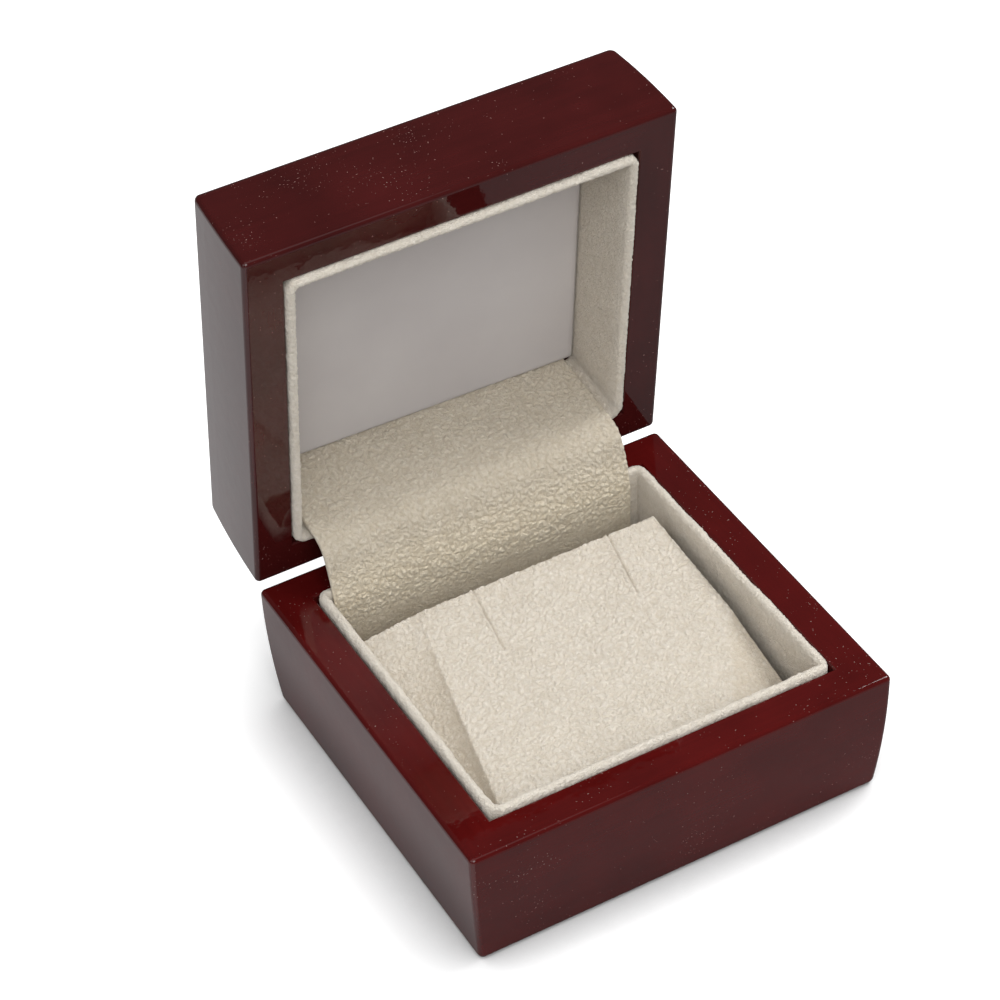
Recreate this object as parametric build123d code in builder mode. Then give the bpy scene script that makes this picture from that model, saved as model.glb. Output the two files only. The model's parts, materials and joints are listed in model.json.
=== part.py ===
from build123d import *
import os
from math import acos, atan2, copysign, cos, degrees, hypot, radians, sin, sqrt

# Lacquered wooden ring box with its lid standing open. Millimetres, +Z up, +Y towards the hinges.
# The origin is the middle of the resting face, the underside of the felt.

# Outer form
box_width = 75.0
box_depth = 70.0
base_height = 24.0
lid_height = 19.0
rim_gap = 0.7            # gap between the closed rims, filled by the hinge leaves
open_angle = 83.4
base_draw_in = 1.4       # how far the sides curve in towards the underside
lid_draw_in = 0.9        # and towards the top of the lid
corner_radius = 0.9
rim_radius = 0.8
lid_edge_radius = 2.0
base_edge_radius = 0.8

# Boards
side_wall = 6.7
end_wall = 6.2
base_panel = 3.7
lid_panel = 5.0
rim_bevel = 0.25         # small chamfer round the inside of each rim

# Felt glued into a shallow recess under the base, standing a little below the wood
felt_margin = 6.0
felt_corner = 3.0
felt_recess = 0.5
felt_stand = 0.3

# Flock-wrapped lining collars
lining_thickness = 1.5
lining_side_gap = 0.35
lining_end_gap = 0.2
lining_proud = 0.3
lining_corner = 2.0
lining_edge_radius = 0.6

# Insert: a padded card with two slits, on a foam block
insert_left = -28.4
insert_right = 27.0
insert_front = -26.6
insert_back = 18.6
insert_front_height = 19.3
insert_back_height = 22.0
insert_thickness = 1.6
foam_margin = 1.5
foam_clearance = 0.1
slit_places = (-8.3, 16.8)
slit_length = 13.8
slit_width = 0.5

# Satin-covered card inside the lid
lid_pad_width = 57.4
lid_pad_thickness = 1.2
lid_pad_front_gap = 0.6
lid_pad_flap_gap = 0.3

# Cover flap hiding the hinges: a flocked sheet from the lid pad down behind the insert
flap_left = -28.3
flap_right = 27.2
flap_thickness = 0.5
flap_base_gap = 0.4      # from the base lining to the middle of the sheet
flap_lid_gap = 0.95
flap_low_end = 6.0
flap_fall_height = 22.4
flap_lid_straight = 0.8  # the sheet is flat from the lid pad to this far inside the rim
flap_shoulder = (30.9, 32.3)
flap_belly = (28.9, 29.2)

# Hinges
hinge_setback = 0.2      # pin axis behind the back face
hinge_places = (-15.0, 15.0)
hinge_length = 14.0
leaf_thickness = 0.3
leaf_reach = 6.0
knuckle_radius = 1.1
knuckle_hole_radius = 0.47
knuckle_play = 0.1
base_knuckles = (4.1, 7.0)   # both hinge halves have a pair of sleeves, measured from the middle
lid_knuckles = (1.7, 4.0)
pin_radius = 0.43
pin_head_radius = 0.8
pin_head_length = 0.4
groove_radius = 1.3
groove_length = 16.0
screw_spread = 9.0
screw_from_pin = 3.8
screw_head_radius = 0.9
screw_radius = 0.5
screw_length = 4.0
pilot_play = 0.02
spring_wire_radius = 0.13
spring_radius = 0.72
spring_length = 2.6
spring_full_turns = 3
spring_leg_reach = 4.2
spring_leg_lift = 0.17   # middle of the wire above the rim at the leg's end
spring_notch = 4.4       # width cut out of each leaf for the legs
spring_notch_reach = 5.0

# Places worked out from the sizes above
hinge_y = box_depth / 2 + hinge_setback
hinge_z = base_height + rim_gap / 2
base_wood_height = base_height - felt_stand
base_floor = base_height - base_wood_height + base_panel
lid_depth = lid_height - lid_panel
pocket_width = box_width - 2 * side_wall
pocket_depth = box_depth - 2 * end_wall
lining_width = pocket_width - 2 * lining_side_gap
lining_depth = pocket_depth - 2 * lining_end_gap
lining_back_face = lining_depth / 2 - lining_thickness
leaf_depth = leaf_reach - knuckle_radius - knuckle_play

# Frames. In each the y axis runs towards the hinges.
# The leaf faces are the two rims, with z pointing out of the wood.
hinge_open = Location((0, hinge_y, hinge_z), (-open_angle, 0, 0))
base_rim_down = Plane(origin=(0, 0, base_height), x_dir=(-1, 0, 0), z_dir=(0, 0, -1))
base_leaf_face = Plane.XY.offset(base_height)
lid_rim = Plane(hinge_open * Location((0, -hinge_y, rim_gap / 2)))
lid_leaf_face = Plane(hinge_open * Location((0, -hinge_y, rim_gap / 2), (0, 180, 0)))


def keep(part, name):
    """Label a finished piece and write its file."""
    part.label = name
    export_step(part, f"parts/{name}.step")


def front_view(frame):
    return Plane(frame.origin, x_dir=frame.x_dir, z_dir=-frame.y_dir)


def side_view(frame):
    return Plane(frame.origin, x_dir=frame.y_dir, z_dir=frame.x_dir)


def drawn_in_outline(half_width, height, draw_in):
    """Full width and upright at the rim, then shallow arcs in to the far face."""
    with BuildLine() as outline:
        Line((-half_width, 0), (half_width, 0))
        TangentArc((half_width, 0), (half_width - draw_in, height), tangent=(0, 1))
        Line((half_width - draw_in, height), (draw_in - half_width, height))
        TangentArc((-half_width, 0), (draw_in - half_width, height), tangent=(0, 1))
    make_face(outline.edges())


def screw_places(leaf_face, places):
    """Middles of the screw holes, with z out of the wood."""
    return [
        leaf_face.location
        * Pos(place * leaf_face.x_dir.X + side * screw_spread / 2, hinge_y - screw_from_pin)
        for place in places
        for side in (-1, 1)
    ]


def rise(edge, frame):
    """How far an edge climbs along a frame's z."""
    return abs((edge @ 1 - edge @ 0).dot(frame.z_dir))


def half_shell(frame, height, draw_in, panel, far_radius, leaf_face):
    """One half of the box in one piece, before it is parted into boards."""
    upright = Axis(frame.origin, frame.z_dir)
    with BuildPart() as shell:
        with BuildSketch(front_view(frame)):
            drawn_in_outline(box_width / 2, height, draw_in)
        extrude(amount=box_depth / 2, both=True)
        with BuildSketch(side_view(frame)):
            drawn_in_outline(box_depth / 2, height, draw_in)
        extrude(amount=box_width / 2, both=True, mode=Mode.INTERSECT)
        fillet(shell.edges().group_by(upright)[-1], far_radius)
        wall_corners = shell.edges().filter_by(lambda edge: rise(edge, frame) > height / 2)
        fillet(wall_corners, corner_radius)
        fillet(shell.edges().group_by(upright)[0], rim_radius)
        with BuildSketch(frame):
            Rectangle(pocket_width, pocket_depth)
        extrude(amount=height - panel, mode=Mode.SUBTRACT)
        rim_face = shell.faces().sort_by(upright)[0]
        chamfer(rim_face.inner_wires()[0].edges(), rim_bevel)
        with Locations(*[Pos(place, hinge_y, hinge_z) for place in hinge_places]):
            Cylinder(groove_radius, groove_length, rotation=(0, 90, 0), mode=Mode.SUBTRACT)
        with Locations(*screw_places(leaf_face, hinge_places)):
            Cylinder(
                screw_radius + pilot_play,
                screw_length + pilot_play,
                align=(Align.CENTER, Align.CENTER, Align.MAX),
                mode=Mode.SUBTRACT,
            )
    return shell.part


def wall_plan(side):
    """Plan of one mitred wall: an outer edge of the box and the pocket edge inside it."""
    x = box_width / 2
    y = box_depth / 2
    outer = {
        "front": [(-x, -y), (x, -y)],
        "right": [(x, -y), (x, y)],
        "back": [(x, y), (-x, y)],
        "left": [(-x, y), (-x, -y)],
    }[side]
    inner = [
        (px - copysign(side_wall, px), py - copysign(end_wall, py)) for px, py in reversed(outer)
    ]
    return outer + inner


def wall_board(shell, frame, height, side):
    with BuildPart() as board:
        add(shell)
        with BuildSketch(frame):
            with BuildLine():
                Polyline(*wall_plan(side), close=True)
            make_face()
        extrude(amount=height, mode=Mode.INTERSECT)
    return board.part


def panel_board(shell, frame, thickness):
    with BuildPart() as board:
        add(shell)
        with BuildSketch(frame):
            Rectangle(box_width, box_depth)
        extrude(amount=thickness, mode=Mode.INTERSECT)
    return board.part


def lining_collar(frame, depth):
    """A flocked card strip bent round the pocket, its edge a little proud of the rim."""
    upright = Axis(frame.origin, frame.z_dir)
    with BuildPart() as collar:
        with BuildSketch(frame.offset(-lining_proud)):
            RectangleRounded(lining_width, lining_depth, lining_corner)
            RectangleRounded(
                lining_width - 2 * lining_thickness,
                lining_depth - 2 * lining_thickness,
                lining_corner - lining_thickness,
                mode=Mode.SUBTRACT,
            )
        extrude(amount=depth + lining_proud)
        fillet(collar.edges().group_by(upright)[0], lining_edge_radius)
    return collar.part


def hinge_leaf(place, leaf_face, knuckle_span):
    """A flat leaf with two sleeves round the pin, notched for the spring's legs."""
    near, far = knuckle_span
    sleeve_offset = (near + far) / 2
    middle = place * leaf_face.x_dir.X
    with BuildPart() as leaf:
        with BuildSketch(leaf_face):
            with Locations((middle, hinge_y - leaf_reach)):
                Rectangle(hinge_length, leaf_depth, align=(Align.CENTER, Align.MIN))
            with Locations((middle, hinge_y - spring_notch_reach)):
                Rectangle(
                    spring_notch,
                    spring_notch_reach,
                    align=(Align.CENTER, Align.MIN),
                    mode=Mode.SUBTRACT,
                )
            with Locations((middle - sleeve_offset, hinge_y), (middle + sleeve_offset, hinge_y)):
                Rectangle(far - near, leaf_reach / 2, align=(Align.CENTER, Align.MAX))
        extrude(amount=leaf_thickness)
        with Locations(*[Pos(place + side * sleeve_offset, hinge_y, hinge_z) for side in (-1, 1)]):
            Cylinder(knuckle_radius, far - near, rotation=(0, 90, 0))
        with Locations(Pos(place, hinge_y, hinge_z)):
            Cylinder(knuckle_hole_radius, hinge_length, rotation=(0, 90, 0), mode=Mode.SUBTRACT)
        with Locations(*screw_places(leaf_face, [place])):
            Cone(
                screw_radius,
                screw_head_radius,
                leaf_thickness,
                align=(Align.CENTER, Align.CENTER, Align.MIN),
                mode=Mode.SUBTRACT,
            )
    return leaf.part


def hinge_screws(leaf_face):
    """Four countersunk screws, flush with the leaves."""
    with BuildPart() as screws:
        with Locations(*screw_places(leaf_face, hinge_places)):
            Cone(
                screw_radius,
                screw_head_radius,
                leaf_thickness,
                align=(Align.CENTER, Align.CENTER, Align.MIN),
            )
            Cylinder(
                screw_radius,
                screw_length,
                align=(Align.CENTER, Align.CENTER, Align.MAX),
            )
    return screws.part


def hinge_pin(place):
    """A pin through all the sleeves, with a flat head at each end."""
    head_offset = hinge_length / 2 + knuckle_play + pin_head_length / 2
    with BuildPart() as pin:
        with Locations(Pos(place, hinge_y, hinge_z)):
            Cylinder(pin_radius, 2 * head_offset, rotation=(0, 90, 0))
        with Locations(*[Pos(place + side * head_offset, hinge_y, hinge_z) for side in (-1, 1)]):
            Cylinder(pin_head_radius, pin_head_length, rotation=(0, 90, 0))
    return pin.part


def hinge_spring(place):
    """A torsion spring round the middle of the pin; each leg runs straight to its own rim.

    It is wound about +Z from +X, then laid along the pin with its first leg towards the base.
    """
    leg_drop = rim_gap / 2 - spring_leg_lift
    leg_span = hypot(spring_leg_reach, leg_drop)
    leg_length = sqrt(leg_span**2 - spring_radius**2)
    leg_angle = 180 + degrees(atan2(leg_drop, spring_leg_reach) - acos(spring_radius / leg_span))
    turns = spring_full_turns + (2 * leg_angle + open_angle) % 360 / 360
    along_pin = Plane(
        origin=(place - spring_length / 2, hinge_y, hinge_z),
        x_dir=(0, cos(radians(leg_angle)), sin(radians(leg_angle))),
        z_dir=(1, 0, 0),
    )
    with BuildPart() as spring:
        with BuildLine() as wire:
            coil = Helix(spring_length / turns, spring_length, spring_radius, lefthand=True)
            Line(coil @ 0 - coil % 0 * leg_length, coil @ 0)
            Line(coil @ 1, coil @ 1 + coil % 1 * leg_length)
        with BuildSketch(Plane(wire.wire() @ 0, z_dir=wire.wire() % 0)):
            Circle(spring_wire_radius)
        sweep(path=wire.wire())
    return along_pin.location * spring.part


def lid_place(y, depth):
    """A point of the lid's own section, as y and z of the standing lid."""
    point = lid_rim.from_local_coords((0, y, depth))
    return point.Y, point.Z


os.makedirs("parts", exist_ok=True)

# Boards of the base
base_shell = half_shell(
    base_rim_down,
    base_wood_height,
    base_draw_in,
    base_panel,
    base_edge_radius,
    base_leaf_face,
)
for side in ("front", "right", "back", "left"):
    board = wall_board(base_shell, base_rim_down, base_height - base_floor, side)
    keep(board, f"base_{side}_wall")

with BuildPart() as base_bottom_panel:
    add(panel_board(base_shell, Plane.XY.offset(felt_stand), base_panel))
    with BuildSketch(Plane.XY.offset(felt_stand)):
        RectangleRounded(box_width - 2 * felt_margin, box_depth - 2 * felt_margin, felt_corner)
    extrude(amount=felt_recess, mode=Mode.SUBTRACT)
keep(base_bottom_panel.part, "base_bottom_panel")

with BuildPart() as base_felt:
    with BuildSketch():
        RectangleRounded(box_width - 2 * felt_margin, box_depth - 2 * felt_margin, felt_corner)
    extrude(amount=felt_stand + felt_recess)
keep(base_felt.part, "base_felt")

# Boards of the lid
lid_shell = half_shell(
    lid_rim,
    lid_height,
    lid_draw_in,
    lid_panel,
    lid_edge_radius,
    lid_leaf_face,
)
for side in ("front", "right", "back", "left"):
    keep(wall_board(lid_shell, lid_rim, lid_depth, side), f"lid_{side}_wall")
keep(panel_board(lid_shell, lid_rim.offset(lid_depth), lid_panel), "lid_top_panel")

# Lining collars
keep(lining_collar(base_rim_down, base_height - base_floor), "base_lining")
keep(lining_collar(lid_rim, lid_depth), "lid_lining")

# Insert: its top falls gently from the back to the front
insert_slope = (insert_back_height - insert_front_height) / (insert_back - insert_front)
with BuildPart() as insert_pad:
    with BuildSketch(Plane.YZ.offset(insert_left)):
        with BuildLine():
            Polyline(
                (insert_front, insert_front_height - insert_thickness),
                (insert_back, insert_back_height - insert_thickness),
                (insert_back, insert_back_height),
                (insert_front, insert_front_height),
                close=True,
            )
        make_face()
    extrude(amount=insert_right - insert_left)
    with BuildSketch(Plane.XY.offset(base_floor)):
        with Locations(*[(place, insert_back) for place in slit_places]):
            Rectangle(slit_width, slit_length, align=(Align.CENTER, Align.MAX))
    extrude(amount=base_height - base_floor, mode=Mode.SUBTRACT)
keep(insert_pad.part, "insert_pad")

with BuildPart() as insert_foam:
    foam_front = insert_front + foam_margin
    foam_back = insert_back - foam_margin
    foam_drop = insert_thickness + foam_clearance
    with BuildSketch(Plane.YZ.offset(insert_left + foam_margin)):
        with BuildLine():
            Polyline(
                (foam_front, base_floor),
                (foam_back, base_floor),
                (foam_back, insert_back_height - foam_drop - insert_slope * foam_margin),
                (foam_front, insert_front_height - foam_drop + insert_slope * foam_margin),
                close=True,
            )
        make_face()
    extrude(amount=insert_right - insert_left - 2 * foam_margin)
keep(insert_foam.part, "insert_foam")

# Lid pad, against the inside of the lid's top
flap_lid_y = lining_back_face - flap_lid_gap
pad_front = -lining_back_face + lid_pad_front_gap
pad_back = flap_lid_y - flap_thickness / 2 - lid_pad_flap_gap
with BuildPart() as lid_pad:
    with BuildSketch(lid_rim.offset(lid_depth - lid_pad_thickness)):
        with Locations((0, pad_front)):
            Rectangle(lid_pad_width, pad_back - pad_front, align=(Align.CENTER, Align.MIN))
    extrude(amount=lid_pad_thickness)
keep(lid_pad.part, "lid_pad")

# Cover flap: flat beside the lid pad, over both linings, then down behind the insert
flap_middle = (flap_left + flap_right) / 2
flap_top = Vector(flap_middle, *lid_place(flap_lid_y, lid_depth))
flap_bend = Vector(flap_middle, *lid_place(flap_lid_y, flap_lid_straight))
flap_fall = Vector(flap_middle, lining_back_face - flap_base_gap, flap_fall_height)
flap_end = Vector(flap_middle, flap_fall.Y, flap_low_end)
with BuildPart() as hinge_cover_flap:
    with BuildLine() as sheet:
        Line(flap_top, flap_bend)
        Spline(
            flap_bend,
            (flap_middle, *flap_shoulder),
            (flap_middle, *flap_belly),
            flap_fall,
            tangents=[flap_bend - flap_top, flap_end - flap_fall],
        )
        Line(flap_fall, flap_end)
    with BuildSketch(Plane(flap_top, x_dir=(1, 0, 0), z_dir=flap_bend - flap_top)):
        Rectangle(flap_right - flap_left, flap_thickness)
    sweep(path=sheet.wire())
keep(hinge_cover_flap.part, "hinge_cover_flap")

# Hinges
for name, place in zip(("left", "right"), hinge_places):
    keep(hinge_leaf(place, base_leaf_face, base_knuckles), f"{name}_hinge_base_leaf")
    keep(hinge_leaf(place, lid_leaf_face, lid_knuckles), f"{name}_hinge_lid_leaf")
    keep(hinge_pin(place), f"{name}_hinge_pin")
    keep(hinge_spring(place), f"{name}_hinge_spring")
keep(hinge_screws(base_leaf_face), "base_hinge_screws")
keep(hinge_screws(lid_leaf_face), "lid_hinge_screws")
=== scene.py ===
"""Looks of a lacquered wooden ring box with its lid standing open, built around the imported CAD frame."""
import json
import math

import bpy
import numpy as np
from mathutils import Matrix, Vector, noise


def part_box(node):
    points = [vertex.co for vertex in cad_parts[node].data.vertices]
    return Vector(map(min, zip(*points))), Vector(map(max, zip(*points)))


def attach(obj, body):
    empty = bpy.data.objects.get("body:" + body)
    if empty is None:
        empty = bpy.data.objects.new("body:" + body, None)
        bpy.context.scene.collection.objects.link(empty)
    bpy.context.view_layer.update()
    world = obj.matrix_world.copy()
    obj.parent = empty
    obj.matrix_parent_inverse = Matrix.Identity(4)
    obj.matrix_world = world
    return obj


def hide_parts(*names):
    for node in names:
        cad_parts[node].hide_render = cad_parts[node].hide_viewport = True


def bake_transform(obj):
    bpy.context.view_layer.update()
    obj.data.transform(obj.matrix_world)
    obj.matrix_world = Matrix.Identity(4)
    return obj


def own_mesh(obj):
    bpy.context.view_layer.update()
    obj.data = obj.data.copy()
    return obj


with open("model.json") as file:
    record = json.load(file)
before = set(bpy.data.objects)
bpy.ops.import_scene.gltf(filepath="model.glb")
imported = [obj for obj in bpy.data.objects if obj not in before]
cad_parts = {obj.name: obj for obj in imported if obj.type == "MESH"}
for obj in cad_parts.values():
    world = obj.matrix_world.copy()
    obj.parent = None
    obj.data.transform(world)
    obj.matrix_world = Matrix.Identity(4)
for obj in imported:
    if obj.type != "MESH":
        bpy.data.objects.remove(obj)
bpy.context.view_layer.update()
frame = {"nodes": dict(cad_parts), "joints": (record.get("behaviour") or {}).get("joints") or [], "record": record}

MM = 0.001

# Blender seeds its vector noise from the clock, so a fixed seed keeps every run the same.
noise.seed_set(7)

# ---------------------------------------------------------------- places read from the frame, in mm


def node_box(node):
    """A node's lowest and highest corners, in mm."""
    low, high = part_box(node)
    return low / MM, high / MM


lid_joint = frame["joints"][0]
hinge = Vector(lid_joint["pos_m"]) / MM
open_angle = math.radians(lid_joint["range_deg"][1])
base_rim_corner = node_box("base_front_wall")[1]
base_rim = base_rim_corner.z
half_gap = hinge.z - base_rim
base_pocket_left = node_box("base_left_wall")[1].x
base_pocket_front = base_rim_corner.y
base_lining_low, base_lining_high = node_box("base_lining")
insert_low, insert_high = node_box("insert_pad")
foam_low, foam_high = node_box("insert_foam")
felt_low, felt_high = node_box("base_felt")
flap_low, flap_high = node_box("hinge_cover_flap")

# The lid's own frame: x to the right, y towards the hinges, z from the rim into the lid.
lid_frame = (
    Matrix.Translation(hinge)
    @ Matrix.Rotation(-open_angle, 4, "X")
    @ Matrix.Translation((0, -hinge.y, half_gap))
)


def lid_node_box(node):
    """A lid node's box in the lid's own frame."""
    inverse = lid_frame.inverted()
    points = np.array([inverse @ (v.co / MM) for v in frame["nodes"][node].data.vertices])
    return Vector(points.min(0)), Vector(points.max(0))


lid_lining_low, lid_lining_high = lid_node_box("lid_lining")
lid_pad_low, lid_pad_high = lid_node_box("lid_pad")
lid_pocket_left = lid_node_box("lid_left_wall")[1].x
lid_pocket_front = lid_node_box("lid_front_wall")[1].y

# ---------------------------------------------------------------- node trees

# The colour sockets of a Mix node, which share their names with its other sockets.
MIX_A = 6
MIX_B = 7
MIX_RESULT = 2


class Tree:
    """Short ways to add and join shader nodes."""

    def __init__(self, name):
        self.material = bpy.data.materials.new(name)
        self.material.use_nodes = True
        self.nodes = self.material.node_tree.nodes
        self.links = self.material.node_tree.links
        self.shader = self.nodes["Principled BSDF"]

    def add(self, kind, inputs=None, **settings):
        node = self.nodes.new(kind)
        for key, value in settings.items():
            setattr(node, key, value)
        for key, value in (inputs or {}).items():
            self.put(value, node.inputs[key])
        return node

    def put(self, value, socket):
        if isinstance(value, bpy.types.NodeSocket):
            self.links.new(value, socket)
        else:
            socket.default_value = value

    def rest_mm(self, attribute=None):
        """Where a point is at rest, in mm, so that a pattern keeps its scale and stays on the cloth."""
        if attribute:
            return self.add("ShaderNodeAttribute", attribute_name=attribute).outputs["Vector"]
        place = self.add("ShaderNodeTexCoord").outputs["Object"]
        scaled = self.add("ShaderNodeVectorMath", {0: place, 3: 1 / MM}, operation="SCALE")
        return scaled.outputs["Vector"]

    def noise(self, vector, scale, detail=3.0, roughness=0.5, distortion=0.0):
        inputs = {
            "Vector": vector,
            "Scale": scale,
            "Detail": detail,
            "Roughness": roughness,
            "Distortion": distortion,
        }
        return self.add("ShaderNodeTexNoise", inputs).outputs["Fac"]

    def stretch(self, vector, factors):
        return self.add(
            "ShaderNodeVectorMath", {0: vector, 1: factors}, operation="MULTIPLY"
        ).outputs["Vector"]

    def ramp(self, value, *stops):
        """A colour ramp from (position, colour) stops."""
        node = self.add("ShaderNodeValToRGB", {"Fac": value})
        elements = node.color_ramp.elements
        while len(elements) < len(stops):
            elements.new(0.5)
        for element, (position, colour) in zip(elements, stops):
            element.position = position
            element.color = (*colour, 1)
        return node.outputs["Color"]

    def math(self, operation, a, b):
        return self.add("ShaderNodeMath", {0: a, 1: b}, operation=operation).outputs["Value"]

    def mix(self, share, a, b, blend="MIX"):
        node = self.add("ShaderNodeMix", data_type="RGBA", blend_type=blend)
        self.put(share, node.inputs["Factor"])
        self.put(a, node.inputs[MIX_A])
        self.put(b, node.inputs[MIX_B])
        return node.outputs[MIX_RESULT]

    def bump(self, height, distance, normal=None):
        """Relief from a height, distance deep in metres where the height is 1."""
        node = self.add("ShaderNodeBump", {"Height": height, "Distance": distance})
        if normal:
            self.put(normal, node.inputs["Normal"])
        return node.outputs["Normal"]

    def set(self, **inputs):
        for key, value in inputs.items():
            self.put(value, self.shader.inputs[key.replace("_", " ")])


def grey(value):
    return (value, value, value)


def lacquer(name, light, dark, grain_axis):
    """Red-brown stained wood under thick clear lacquer, with its grain along x or y."""
    tree = Tree(name)
    place = tree.rest_mm()
    along = {"x": (0.05, 0.8, 0.8), "y": (0.8, 0.05, 0.05)}[grain_axis]
    stretched = tree.stretch(place, along)
    grain = tree.noise(stretched, 1.0, detail=4, roughness=0.6, distortion=0.6)
    cloud = tree.noise(place, 0.07)
    stain = tree.ramp(grain, (0.25, dark), (0.75, light))
    depth = tree.ramp(cloud, (0.3, grey(0.74)), (0.7, grey(1.08)))
    colour = tree.mix(1.0, stain, depth, "MULTIPLY")
    dusty = tree.math("MULTIPLY", tree.noise(place, 0.09, detail=1), 0.3)
    speck_field = tree.math("ADD", tree.noise(place, 3.6, detail=0), dusty)
    speck = tree.ramp(speck_field, (0.999, grey(0.0)), (1.014, grey(1.0)))
    dust = (0.24, 0.14, 0.125, 1)
    peel = tree.noise(place, 0.35, detail=2)
    tree.set(
        Base_Color=tree.mix(speck, colour, dust),
        Roughness=0.42,
        Specular_IOR_Level=0.0,
        Coat_Weight=1.0,
        Coat_Roughness=0.035,
        Coat_IOR=1.5,
        Coat_Normal=tree.bump(peel, 0.00002),
    )
    return tree.material


def flock(name, colour, shade, painted_low_light=grey(1.0)):
    """Short flock nap: soft sheen, fibre bump, slight colour variation, painted shade from the crease attribute
    and painted bounce light towards the low end.
    """
    tree = Tree(name)
    place = tree.rest_mm("rest_mm")
    patch = tree.noise(place, 0.22, roughness=0.6)
    fibre = tree.noise(place, 5.5, detail=4, roughness=0.7)
    tone = tree.ramp(patch, (0.3, shade), (0.68, colour))
    fleck = tree.ramp(fibre, (0.25, grey(0.86)), (0.6, grey(1.0)))
    # Painted shade: the crease attribute darkens and warms the cloth in pebble creases, beside folds, in slits and
    # down the linings' walls.
    crease = tree.add("ShaderNodeAttribute", attribute_name="crease").outputs["Fac"]
    sunk = tree.ramp(crease, (0.2, grey(1.0)), (1.0, (0.83, 0.79, 0.73)))
    height = tree.add("ShaderNodeSeparateXYZ", {0: place}).outputs["Z"]
    # Painted bounce light: below 30 mm the cloth's colour is lifted by the given factor, fully below 23 mm.
    raised = tree.add(
        "ShaderNodeMapRange", {"Value": height, "From Min": 23.0, "From Max": 30.0}
    ).outputs["Result"]
    painted_light = tree.mix(raised, (*painted_low_light, 1), (*grey(1.0), 1))
    napped = tree.mix(1.0, tree.mix(1.0, tone, painted_light, "MULTIPLY"), fleck, "MULTIPLY")
    bend = tree.add("ShaderNodeTexNoise", {"Vector": place, "Scale": 1.1}).outputs["Color"]
    bent = tree.add("ShaderNodeVectorMath", {0: place, 1: bend}, operation="ADD").outputs["Vector"]
    grain = tree.add(
        "ShaderNodeTexVoronoi", {"Vector": bent, "Scale": 1.5}, feature="DISTANCE_TO_EDGE"
    ).outputs["Distance"]
    pebbled = tree.bump(tree.math("MINIMUM", grain, 0.22), 0.00034)
    tree.set(
        Base_Color=tree.mix(1.0, napped, sunk, "MULTIPLY"),
        Roughness=0.95,
        Specular_IOR_Level=0.15,
        Sheen_Weight=0.35,
        Sheen_Roughness=0.5,
        Sheen_Tint=(1, 0.97, 0.92, 1),
        Normal=tree.bump(fibre, 0.00012, normal=pebbled),
    )
    return tree.material


def satin():
    """Pale grey satin over card, with a hardly visible weave."""
    tree = Tree("satin_card")
    place = tree.rest_mm("rest_mm")
    warp = tree.noise(tree.stretch(place, (9, 0.8, 0.8)), 1.0, detail=2)
    weft = tree.noise(tree.stretch(place, (0.8, 9, 9)), 1.0, detail=2)
    cloud = tree.noise(place, 0.06)
    tone = tree.ramp(cloud, (0.3, (0.50, 0.468, 0.462)), (0.7, (0.54, 0.51, 0.50)))
    thread = tree.math("MULTIPLY", warp, weft)
    tree.set(
        Base_Color=tone,
        Roughness=0.62,
        Specular_IOR_Level=0.3,
        Sheen_Weight=0.2,
        Normal=tree.bump(thread, 0.00002),
    )
    return tree.material


def foam():
    """Open-celled foam."""
    tree = Tree("foam")
    place = tree.rest_mm("rest_mm")
    cells = tree.add("ShaderNodeTexVoronoi", {"Vector": place, "Scale": 2.2}).outputs["Distance"]
    tone = tree.ramp(cells, (0.1, (0.42, 0.40, 0.35)), (0.5, (0.74, 0.71, 0.64)))
    tree.set(Base_Color=tone, Roughness=0.95, Normal=tree.bump(cells, 0.0003))
    return tree.material


def metal(name, colour, dark, roughness):
    """Rolled or drawn metal with faint length-wise marks and dull patches."""
    tree = Tree(name)
    place = tree.rest_mm()
    marks = tree.noise(tree.stretch(place, (0.6, 9, 9)), 1.0)
    dull = tree.noise(place, 0.8)
    spread = tree.ramp(dull, (0.3, grey(roughness)), (0.75, grey(roughness + 0.22)))
    tree.set(
        Base_Color=tree.ramp(dull, (0.35, colour), (0.8, dark)),
        Metallic=1.0,
        Roughness=spread,
        Normal=tree.bump(marks, 0.00001),
    )
    return tree.material


# ---------------------------------------------------------------- meshes


def make_object(name, points, faces, body, material, crease=None):
    """A mesh from points in mm, riding on a body (or on none if body is None)."""
    mesh = bpy.data.meshes.new(name)
    mesh.from_pydata((np.asarray(points) * MM).tolist(), [], faces)
    mesh.validate()
    mesh.polygons.foreach_set("use_smooth", [True] * len(mesh.polygons))
    rest = mesh.attributes.new("rest_mm", "FLOAT_VECTOR", "POINT")
    rest.data.foreach_set("vector", np.asarray(points, np.float32).ravel())
    # The crease attribute carries painted shade, which the flock materials darken the cloth by.
    if crease is not None:
        sunk = np.zeros(len(points), np.float32)
        sunk[: crease.size] = crease.ravel()
        mesh.attributes.new("crease", "FLOAT", "POINT").data.foreach_set("value", sunk)
    mesh.materials.append(material)
    piece = bpy.data.objects.new(name, mesh)
    bpy.context.scene.collection.objects.link(piece)
    if body:
        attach(piece, body)
    return piece


def grid_faces(rows, columns, start=0, closed_rows=False, closed_columns=False, flip=False):
    """Quads of a grid of points stored row by row."""
    faces = []
    for i in range(rows if closed_rows else rows - 1):
        for j in range(columns if closed_columns else columns - 1):
            a = start + i * columns + j
            b = start + i * columns + (j + 1) % columns
            c = start + (i + 1) % rows * columns + (j + 1) % columns
            d = start + (i + 1) % rows * columns + j
            faces.append((d, c, b, a) if flip else (a, b, c, d))
    return faces


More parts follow.
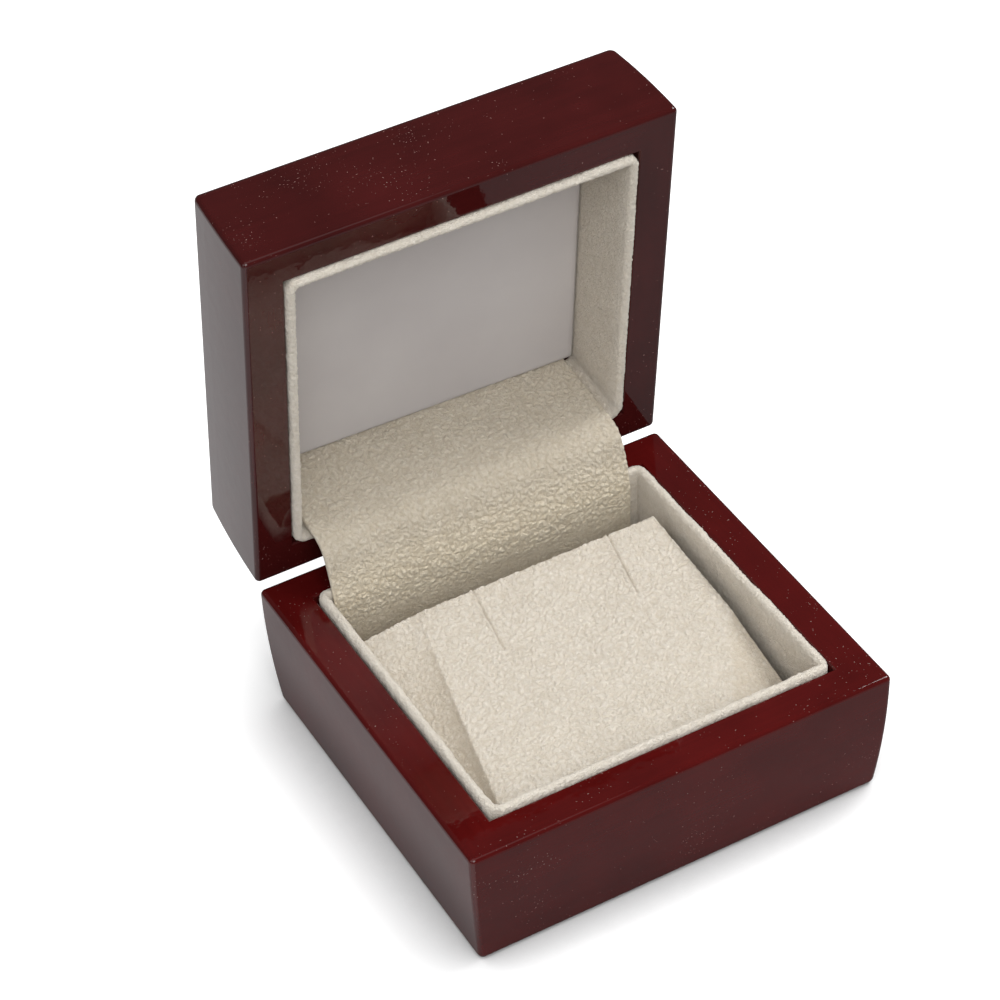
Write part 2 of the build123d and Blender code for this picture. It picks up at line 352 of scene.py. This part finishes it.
def sheet_solid(front, back):
    """A closed thin solid between two grids of points with the same rows and columns."""
    rows, columns = front.shape[:2]
    count = rows * columns
    points = np.concatenate([front.reshape(-1, 3), back.reshape(-1, 3)])
    faces = grid_faces(rows, columns) + grid_faces(rows, columns, count, flip=True)
    border = [(0, j) for j in range(columns)]
    border += [(i, columns - 1) for i in range(1, rows)]
    border += [(rows - 1, j) for j in range(columns - 2, -1, -1)]
    border += [(i, 0) for i in range(rows - 2, 0, -1)]
    for (i, j), (k, m) in zip(border, border[1:] + border[:1]):
        a = i * columns + j
        b = k * columns + m
        faces.append((b, a, a + count, b + count))
    return points, faces


def in_lid(points):
    """Lid-frame points as row-frame points."""
    rotation = np.array(lid_frame.to_3x3())
    return np.asarray(points) @ rotation.T + np.array(lid_frame.translation)


def smooth_step(low, high, value):
    """0 on low's side, 1 on high's side, and a smooth change between them."""
    t = np.clip((value - low) / (high - low), 0, 1)
    return t * t * (3 - 2 * t)


def pebble(points, cell, warp):
    """Leather-like pebbles: 1 on the crown of each pebble, 0 in the creases between them."""
    warp_scale = 0.9
    steepness = 4.5
    out = np.empty(len(points))
    for k, p in enumerate(points):
        q = Vector(p) / cell
        q = q + noise.noise_vector(q * warp_scale) * warp
        near, far = noise.voronoi(q)[0][:2]
        out[k] = 1.0 - math.exp(-steepness * (far - near))
    return out


def soft_noise(points, size, seed=0.0):
    """Smooth noise between about -1 and 1, with lumps of the given size in mm."""
    shift = Vector((seed, seed * 1.7, seed * 0.6))
    return np.array([noise.noise(Vector(p) / size + shift) for p in points])


def nap(points, amount=1.0):
    """Height in mm of a pebbled nap, and how deep in a crease each point lies."""
    large = pebble(points, cell=1.15, warp=0.45)
    small = pebble(points, cell=0.75, warp=0.6)
    lumps = soft_noise(points, 2.6)
    fibre = soft_noise(points, 0.3, seed=9.0)
    height = amount * (0.25 * large + 0.16 * small + 0.05 * lumps + 0.03 * fibre)
    return height, 1 - 0.55 * large - 0.45 * small


# ---------------------------------------------------------------- linings

lining_thickness = 1.5
bead_proud = 0.95     # height of the bead above the rim
bead_swell = 0.12     # how much taller than a half round the bead is
lining_step = 0.2
lining_nap = 0.33     # share of the full nap, as the linings' cloth is stretched tight
wood_gap = 0.05       # gap left where a lining leans out to the wood
most_lean = 0.4       # furthest that a lining leans out to touch the wood
flap_middle_x = -0.5
flap_relief = 0.65    # how far the linings step back to make room for the flap


def rounded_outline(left, right, front, back, radii, step):
    """Points and outward normals round a rectangle.

    The radii are those of its front left, front right, back right and back left corners.
    """
    fewest_on_arc = 6
    corners = [
        (left, front, math.pi, radii[0]),
        (right, front, 1.5 * math.pi, radii[1]),
        (right, back, 0.0, radii[2]),
        (left, back, 0.5 * math.pi, radii[3]),
    ]
    points = []
    normals = []
    for k, (x, y, start, radius) in enumerate(corners):
        cx = x + math.copysign(radius, -x)
        cy = y + math.copysign(radius, (front + back) / 2 - y)
        arc = max(fewest_on_arc, int(radius * math.pi / 2 / step))
        for i in range(arc + 1):
            angle = start + math.pi / 2 * i / arc
            normal = np.array([math.cos(angle), math.sin(angle)])
            points.append(np.array([cx, cy]) + radius * normal)
            normals.append(normal)
        nx, ny, _, next_radius = corners[(k + 1) % 4]
        ncx = nx + math.copysign(next_radius, -nx)
        ncy = ny + math.copysign(next_radius, (front + back) / 2 - ny)
        angle = start + math.pi / 2
        normal = np.array([math.cos(angle), math.sin(angle)])
        end = np.array([ncx, ncy]) + next_radius * normal
        begin = points[-1]
        count = int(np.linalg.norm(end - begin) / step)
        for i in range(1, count):
            points.append(begin + (end - begin) * i / count)
            normals.append(normal)
    return np.array(points), np.array(normals)


def lean_to_wood(points, normals, pocket_left, pocket_front):
    """How far a lining may lean out to touch the wood on its left and front sides."""
    least_facing = 0.2
    room = np.full(len(points), np.inf)
    for axis, wall in enumerate((pocket_left, pocket_front)):
        facing = normals[:, axis] < -least_facing
        reach = (points[facing, axis] - wall) / -normals[facing, axis]
        room[facing] = np.minimum(room[facing], reach)
    room[np.isinf(room)] = 0
    toward = np.clip(-(normals[:, 0] + normals[:, 1]), 0, 1)
    return np.clip(room - wood_gap, 0, most_lean) * toward


def lining_section(floor, rim):
    """Rows of a lining's section: distance outwards, height, and the way the surface faces."""
    up = math.copysign(1.0, rim - floor)
    bead = lining_thickness / 2 + bead_swell
    shoulder = rim + up * (bead_proud - bead)
    middle = lining_thickness / 2
    outer_rows = 8
    bead_rows = 16
    inner_rows = 60
    rows = [(0.0, floor + (shoulder - floor) * i / outer_rows, 1.0, 0.0) for i in range(outer_rows)]
    for i in range(bead_rows + 1):
        angle = math.pi * i / bead_rows
        out = math.cos(angle)
        rise = math.sin(angle)
        rows.append((middle * out - middle, shoulder + up * bead * rise, out, up * rise))
    for i in range(1, inner_rows + 1):
        height = shoulder + (floor - shoulder) * i / inner_rows
        rows.append((-lining_thickness, height, -1.0, 0.0))
    return rows


def lining_piece(name, outline, pocket, floor, rim, to_row, body, flip):
    """A wrapped card strip round a pocket, with a soft rounded bead standing past the rim.

    to_row turns its points into row-frame points. Its nap fades out at the floor, its bead wavers
    a little in height, and its wall gets painted shade that darkens it below the rim.
    """
    wall_shade = 0.3
    crease_share = 0.6
    points, normals = outline
    up = math.copysign(1.0, rim - floor)
    lean = lean_to_wood(points, normals, *pocket)
    from_middle = np.abs(points[:, 0] - flap_middle_x)
    behind_flap = smooth_step(27.2, 25.6, from_middle) * (points[:, 1] > 0)
    surface = []
    facing = []
    shaded = []
    for across, height, out, rise in lining_section(floor, rim):
        past_rim = up * (height - rim)
        offset = across + lean * smooth_step(-4.0, -0.5, past_rim)
        if out < -0.5:
            offset = offset + behind_flap * flap_relief
        level = np.full(len(points), height)
        surface.append(np.column_stack([points + normals * offset[:, None], level]))
        facing.append(np.column_stack([normals * out, np.full(len(points), rise)]))
        # Painted shade: the wall's colour darkens from just below the rim to 3 mm down.
        shaded.append(np.full(len(points), wall_shade * smooth_step(0.3, 3.0, -past_rim)))
    rows = len(surface)
    flat = np.concatenate(surface)
    facing = np.concatenate(facing)
    height, crease = nap(flat, lining_nap)
    wobble = soft_noise(flat, 7.0, seed=3.0) * 0.16 + soft_noise(flat, 2.2, seed=5.0) * 0.08
    fuzz = soft_noise(flat, 0.45, seed=1.0) * 0.07 + soft_noise(flat, 0.21, seed=2.0) * 0.1
    from_floor = np.abs(flat[:, 2] - floor)
    loose = smooth_step(0.0, 2.0, from_floor)
    swell = height - height.mean() + wobble * 0.5 + fuzz
    flat = flat + facing * (swell * loose)[:, None]
    flat[:, 2] += wobble * smooth_step(12.0, 19.0, from_floor)
    crease = crease * crease_share + np.concatenate(shaded)
    faces = grid_faces(rows, len(points), closed_rows=True, closed_columns=True, flip=flip)
    return make_object(name, to_row(flat), faces, body, cream, crease)


# ---------------------------------------------------------------- build

base_light = (0.084, 0.0046, 0.0042)
base_dark = (0.068, 0.0036, 0.0034)
lid_light = (0.055, 0.0062, 0.006)
lid_dark = (0.045, 0.005, 0.0048)
woods = {
    ("base", "x"): lacquer("base_lacquer_wide", base_light, base_dark, "x"),
    ("base", "y"): lacquer("base_lacquer_deep", base_light, base_dark, "y"),
    ("lid", "x"): lacquer("lid_lacquer_wide", lid_light, lid_dark, "x"),
    ("lid", "y"): lacquer("lid_lacquer_deep", lid_light, lid_dark, "y"),
}
cream = flock("cream_flock", (0.75, 0.69, 0.60), (0.715, 0.655, 0.565))
# The flap's cloth is a darker, yellower cream than the insert's, with painted bounce light towards its low end
# behind the insert.
flap_cream = flock(
    "flap_flock", (0.66, 0.594, 0.487), (0.625, 0.558, 0.452), painted_low_light=(1.24, 1.23, 1.18)
)
metals = {
    "hinge_brass": metal("hinge_brass", (0.78, 0.58, 0.28), (0.55, 0.38, 0.16), 0.22),
    "hinge_steel": metal("hinge_steel", (0.6, 0.6, 0.61), (0.4, 0.4, 0.41), 0.28),
}
for part in frame["record"]["subparts"]:
    half = "lid" if part["node"].startswith("lid") else "base"
    grain_axis = "y" if part["node"].endswith(("left_wall", "right_wall")) else "x"
    looks = {"lacquered_wood": woods[half, grain_axis], **metals}
    if part["material_slot"] in looks:
        node = frame["nodes"][part["node"]]
        node.data.materials.clear()
        node.data.materials.append(looks[part["material_slot"]])

base_outline = rounded_outline(
    base_lining_low.x,
    base_lining_high.x,
    base_lining_low.y,
    base_lining_high.y,
    (2.2, 1.7, 1.7, 1.7),
    lining_step,
)
base_lining = lining_piece(
    "base_lining_wrap",
    base_outline,
    (base_pocket_left, base_pocket_front),
    base_lining_low.z,
    base_rim,
    lambda points: points,
    "base",
    False,
)
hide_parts("base_lining")

lid_outline = rounded_outline(
    lid_lining_low.x,
    lid_lining_high.x,
    lid_lining_low.y,
    lid_lining_high.y,
    (2.4, 1.8, 2.6, 1.8),
    lining_step,
)
lid_lining = lining_piece(
    "lid_lining_wrap",
    lid_outline,
    (lid_pocket_left, lid_pocket_front),
    lid_lining_high.z,
    0.0,
    in_lid,
    "lid",
    True,
)
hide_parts("lid_lining")


# Insert

crease_back_x = -17.2        # where the crease meets the insert's back edge
crease_run = 9.6             # how far left it has run at the front edge
corner_origin = (15.6, -4.2)
corner_reach = (11.2, 18.2)  # the sunk corner's fold ends this far right and this far forward of it
front_fall = 2.85            # fall of the whole top from back to front
fold_fall = 4.4              # most that the side left of the crease falls
corner_fall = 3.4            # steepness of the sunk corner
insert_cloth = 1.75          # depth of the cloth's underside below its flat top
slits = (((-7.3, 18.6), (-9.3, 4.6)), ((18.0, 18.6), (15.6, 5.0)))    # back and front end of each


def insert_folds(x, y):
    """How far back a point lies (0 to 1), how far left of the crease and into the sunk corner."""
    back = np.clip((y - insert_low.y) / (insert_high.y - insert_low.y), 0, 1)
    crease = crease_back_x - crease_run * (1 - back) ** 0.97
    left = np.maximum(0, crease - x)
    right_share = (x - corner_origin[0]) / corner_reach[0]
    front_share = (corner_origin[1] - y) / corner_reach[1]
    corner = np.maximum(0, right_share + front_share - 1.0)
    return back, left, corner


def insert_height(x, y):
    """Top of the insert: it falls to the front, creased on the left and sunk at the right front."""
    back, left, corner = insert_folds(x, y)
    main = insert_high.z - front_fall * (1 - back**1.6)
    fall = fold_fall * (1 - back) ** 0.7
    folded = fall * (1 - np.exp(-left / 3.0)) * smooth_step(-0.3, 0.4, left) + 0.12 * left
    softness = 0.003
    dip = corner_fall * (np.sqrt(corner**2 + softness) - math.sqrt(softness))
    return main - folded - dip


def flattened_and_shaded(x, y):
    """Where the nap is pressed flatter and the cloth gets painted shade: beside the crease and in the sunk corner.
    """
    back, left, corner = insert_folds(x, y)
    beside = np.exp(-left / 4.0) * smooth_step(0.0, 0.4, left) * smooth_step(0.0, 0.35, 1 - back)
    return np.maximum(beside, 0.8 * smooth_step(0.0, 0.15, corner))


def slit_groove(x, y):
    """Shares of the slits' depth and of the raised lip that stands along their left sides."""
    slit_width = 0.17
    lip_width = 0.3
    lip_offset = 0.45
    depth = np.zeros_like(x)
    lip = np.zeros_like(x)
    for start, end in slits:
        along = (start[1] - y) / (start[1] - end[1])
        middle = start[0] + (end[0] - start[0]) * along
        inside = smooth_step(1.02, 0.96, along)
        depth += inside * np.exp(-(((x - middle) / slit_width) ** 2))
        lip += inside * np.exp(-(((x - middle + lip_offset) / lip_width) ** 2))
    return np.minimum(depth, 1), lip


def insert_piece():
    """The flocked top of the insert, with rounded edges, two slits and a pebbled nap."""
    step = 0.17
    edge = 0.45
    slit_depth = 0.45
    lip_height = 0.14
    slit_shade = 0.9
    flattened = 0.45      # share of the nap that is lost where it is pressed
    painted_fold_shade = 0.5
    columns = int((insert_high.x - insert_low.x) / step)
    rows = int((insert_high.y - insert_low.y) / step)
    x = np.linspace(insert_low.x, insert_high.x, columns)
    y = np.linspace(insert_low.y, insert_high.y, rows)
    gx, gy = np.meshgrid(x, y)
    gz = insert_height(gx, gy)
    flat = np.column_stack([gx.ravel(), gy.ravel(), gz.ravel()])
    pressed = flattened_and_shaded(gx, gy)
    height, crease = nap(flat)
    gz = gz + height.reshape(gz.shape) * (1 - flattened * pressed)
    groove, lip = slit_groove(gx, gy)
    gz = gz - slit_depth * groove + lip_height * lip
    # Painted shade: pebble creases, the folds beside the crease and in the sunk corner, and the slits darken the
    # cloth's colour.
    crease = np.maximum(crease.reshape(gz.shape) + painted_fold_shade * pressed, groove * slit_shade)
    border = np.minimum.reduce([gx - x[0], x[-1] - gx, gy - y[0], y[-1] - gy])
    inset = np.clip(edge - border, 0, edge)
    gz = gz - (edge - np.sqrt(np.maximum(edge**2 - inset**2, 0)))
    front = np.stack([gx, gy, gz], axis=-1)
    back = front.copy()
    back[..., 2] = insert_height(gx, gy) - insert_cloth
    points, faces = sheet_solid(front, back)
    piece = make_object("insert_wrap", points, faces, "base", cream, crease)
    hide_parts("insert_pad")


insert_piece()


# Flap

flap_lid_y = 26.1     # how far back the flap runs up the lid
flap_thickness = 0.5
flap_edge = 0.25      # radius of its side edges
flap_step = 0.17
flap_nap = 1.1
hidden_nap = 0.25     # share of the nap on the part behind the insert


def flap_lean(x, depth):
    """The flap's upper end leans forward on the left, where it meets the lid pad."""
    most = 1.7
    left = (flap_high.x - x) / (flap_high.x - flap_low.x)
    return most * left * smooth_step(1.5, 12.0, depth)


def hermite(points, tangents, count):
    """A smooth curve through points with the given end tangents."""
    slopes = [tangents[0]]
    for before, after in zip(points[:-2], points[2:]):
        slopes.append((after - before) / 2)
    slopes.append(tangents[1])
    curve = []
    for k in range(len(points) - 1):
        u = np.linspace(0, 1, count, endpoint=False)[:, None]
        curve.append(
            (2 * u**3 - 3 * u**2 + 1) * points[k]
            + (u**3 - 2 * u**2 + u) * slopes[k]
            + (3 * u**2 - 2 * u**3) * points[k + 1]
            + (u**3 - u**2) * slopes[k + 1]
        )
    return np.concatenate(curve + [points[-1:]])


def lid_point(y, z):
    """A point of the lid's own section, as y and z in the row frame."""
    return in_lid([[0.0, y, z]])[0][1:]


def flap_profile():
    """Section of the flap, from its low end behind the insert to its top beside the lid pad."""
    fall_y = base_lining_high.y - lining_thickness - 0.5
    low = np.array([fall_y, flap_low.z])
    fall = np.array([fall_y, 21.9])
    bend = lid_point(flap_lid_y, 0.8)
    top = lid_point(flap_lid_y, lid_pad_high.z - 0.05)
    first_tangent = np.array([0.0, 7.0])
    last_tangent = (top - bend) / np.linalg.norm(top - bend) * 6
    bow = np.array([fall, [28.3, 29.1], [30.6, 32.5], bend])
    curve = hermite(bow, (first_tangent, last_tangent), 30)
    path = np.concatenate([[low], curve, [top]])
    lengths = np.concatenate([[0], np.cumsum(np.linalg.norm(np.diff(path, axis=0), axis=1))])
    steps = np.linspace(0, lengths[-1], int(lengths[-1] / flap_step))
    return np.column_stack([np.interp(steps, lengths, path[:, axis]) for axis in (0, 1)])


def flap_piece():
    """The flocked sheet over the hinges, which bends between the base and the lid."""
    profile = flap_profile()
    tangent = np.gradient(profile, axis=0)
    tangent /= np.linalg.norm(tangent, axis=1)[:, None]
    outward = np.column_stack([-tangent[:, 1], tangent[:, 0]])
    columns = int((flap_high.x - flap_low.x) / flap_step)
    x = np.linspace(flap_low.x, flap_high.x, columns)
    rows = len(profile)
    gx = np.tile(x, (rows, 1))
    middle = np.stack([gx, *(np.tile(profile[:, [k]], (1, columns)) for k in (0, 1))], -1)
    normal = np.stack(
        [np.zeros_like(gx), *(np.tile(outward[:, [k]], (1, columns)) for k in (0, 1))], -1
    )
    shown = smooth_step(16.0, 20.0, middle[..., 2])
    flat = middle.reshape(-1, 3)
    height, crease = (values.reshape(gx.shape) for values in nap(flat, flap_nap))
    border = np.minimum(gx - x[0], x[-1] - gx)
    inset = np.clip(flap_edge - border, 0, flap_edge)
    thin = flap_edge - np.sqrt(flap_edge**2 - inset**2)
    wave = 0.12 * np.sin(gx * 0.16 + 0.6) * shown
    napped = height * (hidden_nap + (1 - hidden_nap) * shown)
    front = middle + normal * (flap_thickness / 2 + napped - thin + wave)[..., None]
    back = middle - normal * (flap_thickness / 2 - thin - wave)[..., None]
    back_axis = np.array(lid_frame.to_3x3() @ Vector((0, 1, 0)))
    depth_axis = np.array(lid_frame.to_3x3() @ Vector((0, 0, 1)))
    depth = (middle - np.array(lid_frame.translation)) @ depth_axis
    lean = (flap_lean(gx, depth) * shown)[..., None] * back_axis
    front = front - lean
    back = back - lean
    points, faces = sheet_solid(front[:, ::-1], back[:, ::-1])
    piece = make_object(
        "hinge_cover_flap_cloth", points, faces, None, flap_cream, crease[:, ::-1]
    )
    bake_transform(piece)
    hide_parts("hinge_cover_flap")


flap_piece()


# Lid pad


def lid_pad_piece():
    """The satin pad in the lid, softly swollen, with its low edge cut to meet the flap."""
    step = 0.6
    edge = 0.5
    flap_gap = 0.12
    x = np.linspace(lid_pad_low.x, lid_pad_high.x, int((lid_pad_high.x - lid_pad_low.x) / step))
    y = np.linspace(lid_pad_low.y, lid_pad_high.y, int((lid_pad_high.y - lid_pad_low.y) / step))
    gx, gy = np.meshgrid(x, y)
    share = (gy - y[0]) / (y[-1] - y[0])
    meeting = flap_lid_y - flap_thickness / 2 - flap_lean(gx, lid_pad_low.z) - flap_gap
    gy = gy + (meeting - y[-1]) * share**6
    flat = np.column_stack([gx.ravel(), gy.ravel(), np.zeros(gx.size)])
    swell = soft_noise(flat, 16, seed=4).reshape(gx.shape) * 0.12
    border = np.minimum.reduce([gx - x[0], x[-1] - gx, gy - y[0], np.abs(gy.max(0) - gy)])
    inset = np.clip(edge - border, 0, edge)
    face = lid_pad_low.z - swell + (edge - np.sqrt(edge**2 - inset**2))
    front = np.stack([gx, gy, face], -1)
    back = np.stack([gx, gy, np.full_like(gx, lid_pad_high.z)], -1)
    points, faces = sheet_solid(back, front)
    piece = make_object("lid_pad_satin", in_lid(points), faces, "lid", satin())
    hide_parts("lid_pad")


lid_pad_piece()


# Foam block and felt


def block_piece(name, low, high, top, radius, step, roughen, body, material, node):
    """A soft rectangular block with rounded edges; top(x, y) gives its upper face."""
    x = np.linspace(low.x, high.x, int((high.x - low.x) / step))
    y = np.linspace(low.y, high.y, int((high.y - low.y) / step))
    gx, gy = np.meshgrid(x, y)
    flat = np.column_stack([gx.ravel(), gy.ravel(), np.zeros(gx.size)])
    grain = soft_noise(flat, 1.1, seed=6).reshape(gx.shape) * roughen
    border = np.minimum.reduce([gx - x[0], x[-1] - gx, gy - y[0], y[-1] - gy])
    inset = np.clip(radius - border, 0, radius)
    round_over = radius - np.sqrt(radius**2 - inset**2)
    upper = np.stack([gx, gy, top(gx, gy) + grain - round_over], -1)
    lower = np.stack([gx, gy, np.full_like(gx, low.z)], -1)
    points, faces = sheet_solid(upper, lower)
    piece = make_object(name, points, faces, body, material)
    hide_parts(node)


foam_below_top = 2.1
block_piece(
    "insert_foam_block",
    foam_low,
    foam_high,
    top=lambda x, y: insert_height(x, y) - foam_below_top,
    radius=0.8,
    step=0.8,
    roughen=0.1,
    body="base",
    material=foam(),
    node="insert_foam",
)
block_piece(
    "base_felt_sheet",
    felt_low,
    felt_high,
    top=lambda x, y: np.full_like(x, felt_high.z),
    radius=0.25,
    step=0.6,
    roughen=0.0,
    body="base",
    material=flock("base_felt", (0.055, 0.012, 0.013), (0.04, 0.009, 0.01)),
    node="base_felt",
)


# Hinge springs


def spring_piece(node):
    """A hinge spring, copied in its CAD shape."""
    piece = bpy.data.objects.new(f"{node}_coil", frame["nodes"][node].data.copy())
    bpy.context.scene.collection.objects.link(piece)
    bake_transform(piece)
    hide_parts(node)


for side in ("left", "right"):
    spring_piece(f"{side}_hinge_spring")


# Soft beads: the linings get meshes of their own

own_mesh(base_lining)
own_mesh(lid_lining)

# ---------------------------------------------------------------- stage


def floor_plane():
    """White paper floor that glows a little to the camera, with a painted contact shadow where the box stands and
    a painted reflection, greyer to the lacquer and darkest to the front and right.
    """
    size = 3.0
    corners = [(-size, -size, 0), (size, -size, 0), (size, size, 0), (-size, size, 0)]
    mesh = bpy.data.meshes.new("floor")
    mesh.from_pydata(corners, [], [(0, 1, 2, 3)])
    floor = bpy.data.objects.new("floor", mesh)
    bpy.context.scene.collection.objects.link(floor)
    tree = Tree("floor")
    paper = tree.noise(tree.rest_mm(), 0.4)
    path = tree.add("ShaderNodeLightPath").outputs
    place = tree.add("ShaderNodeSeparateXYZ", {0: tree.rest_mm()}).outputs
    # Painted reflection: glossy rays see the floor greyer, darkest to the front and right of the box.
    beside = tree.add(
        "ShaderNodeMapRange",
        {"Value": place["X"], "From Min": -34, "From Max": -44, "To Min": 0.27, "To Max": 0.68},
        interpolation_type="SMOOTHSTEP",
    ).outputs["Result"]
    white = tree.ramp(paper, (0.2, grey(0.92)), (0.8, grey(0.95)))
    painted_reflection = tree.mix(1.0, white, beside, "MULTIPLY")
    # Diffuse rays see the floor as grey, so it bounces less light onto the box.
    bounced = tree.mix(path["Is Diffuse Ray"], white, (*grey(0.4), 1))
    # Painted contact shadow: occlusion near the box darkens the floor's colour and fades its glow, for the camera
    # only.
    open_sky = tree.add("ShaderNodeAmbientOcclusion", {"Distance": 0.014}).outputs["AO"]
    painted_glow = tree.math("MULTIPLY", tree.math("POWER", open_sky, 2.5), 0.45)
    painted_contact_shadow = tree.ramp(open_sky, (0.3, grey(0.62)), (0.95, grey(1.0)))
    bounced = tree.mix(path["Is Camera Ray"], bounced, tree.mix(1.0, white, painted_contact_shadow, "MULTIPLY"))
    tree.set(
        Base_Color=tree.mix(path["Is Glossy Ray"], bounced, painted_reflection),
        Roughness=0.9,
        Specular_IOR_Level=0.0,
        Emission_Color=(1, 1, 1, 1),
        Emission_Strength=tree.math("MULTIPLY", path["Is Camera Ray"], painted_glow),
    )
    mesh.materials.append(tree.material)


def area_light(name, place, target, size, power):
    """A round soft light, aimed at a point; lengths in metres and power in watts."""
    light = bpy.data.lights.new(name, "AREA")
    light.shape = "DISK"
    light.size = size
    light.energy = power
    holder = bpy.data.objects.new(name, light)
    bpy.context.scene.collection.objects.link(holder)
    holder.location = place
    aim = Vector(target) - Vector(place)
    holder.rotation_euler = aim.to_track_quat("-Z", "Y").to_euler()


def world_light():
    """Even soft light, darker to mirrors so that the lacquer keeps its depth; pale for the backdrop."""
    world = bpy.data.worlds.new("studio")
    world.use_nodes = True
    bpy.context.scene.world = world
    nodes = world.node_tree.nodes
    links = world.node_tree.links
    path = nodes.new("ShaderNodeLightPath")
    background = nodes["Background"]
    glossy = nodes.new("ShaderNodeMix")
    glossy.data_type = "RGBA"
    glossy.inputs[MIX_A].default_value = (0.47, 0.473, 0.476, 1)
    glossy.inputs[MIX_B].default_value = (0.09, 0.087, 0.087, 1)
    seen = nodes.new("ShaderNodeMix")
    seen.data_type = "RGBA"
    seen.inputs[MIX_B].default_value = (1, 1, 1, 1)
    links.new(path.outputs["Is Glossy Ray"], glossy.inputs[0])
    links.new(glossy.outputs[MIX_RESULT], seen.inputs[MIX_A])
    links.new(path.outputs["Is Camera Ray"], seen.inputs[0])
    links.new(seen.outputs[MIX_RESULT], background.inputs["Color"])


def camera():
    """A long lens from the front left, looking down."""
    azimuth = math.radians(27.82)
    elevation = math.radians(41.22)
    roll = math.radians(-2.71)
    target = Vector((-11.33, 0.0, 57.07)) * MM
    distance = 515.5 * MM
    back = Vector(
        (
            -math.sin(azimuth) * math.cos(elevation),
            -math.cos(azimuth) * math.cos(elevation),
            math.sin(elevation),
        )
    )
    data = bpy.data.cameras.new("camera")
    data.sensor_width = 36.0
    data.lens = 123.3
    data.clip_start = 0.01
    holder = bpy.data.objects.new("camera", data)
    bpy.context.scene.collection.objects.link(holder)
    holder.location = target + back * distance
    turn = (-back).to_track_quat("-Z", "Y").to_matrix() @ Matrix.Rotation(roll, 3, "Z")
    holder.rotation_euler = turn.to_euler()
    bpy.context.scene.camera = holder


floor_plane()
world_light()
area_light("key", (0.45, 0.0, 0.58), (0, 0, 0.03), size=0.3, power=2.6)
area_light("overhead", (-0.1, -0.15, 0.9), (0, 0, 0.03), size=0.9, power=1.1)
area_light("front_fill", (-0.16, -0.54, 0.58), (0, 0, 0.04), size=0.55, power=2.7)
area_light("left_fill", (-0.6, -0.1, 0.45), (0, 0, 0.04), size=0.5, power=0.7)
camera()
bpy.context.scene.view_settings.view_transform = "Standard"
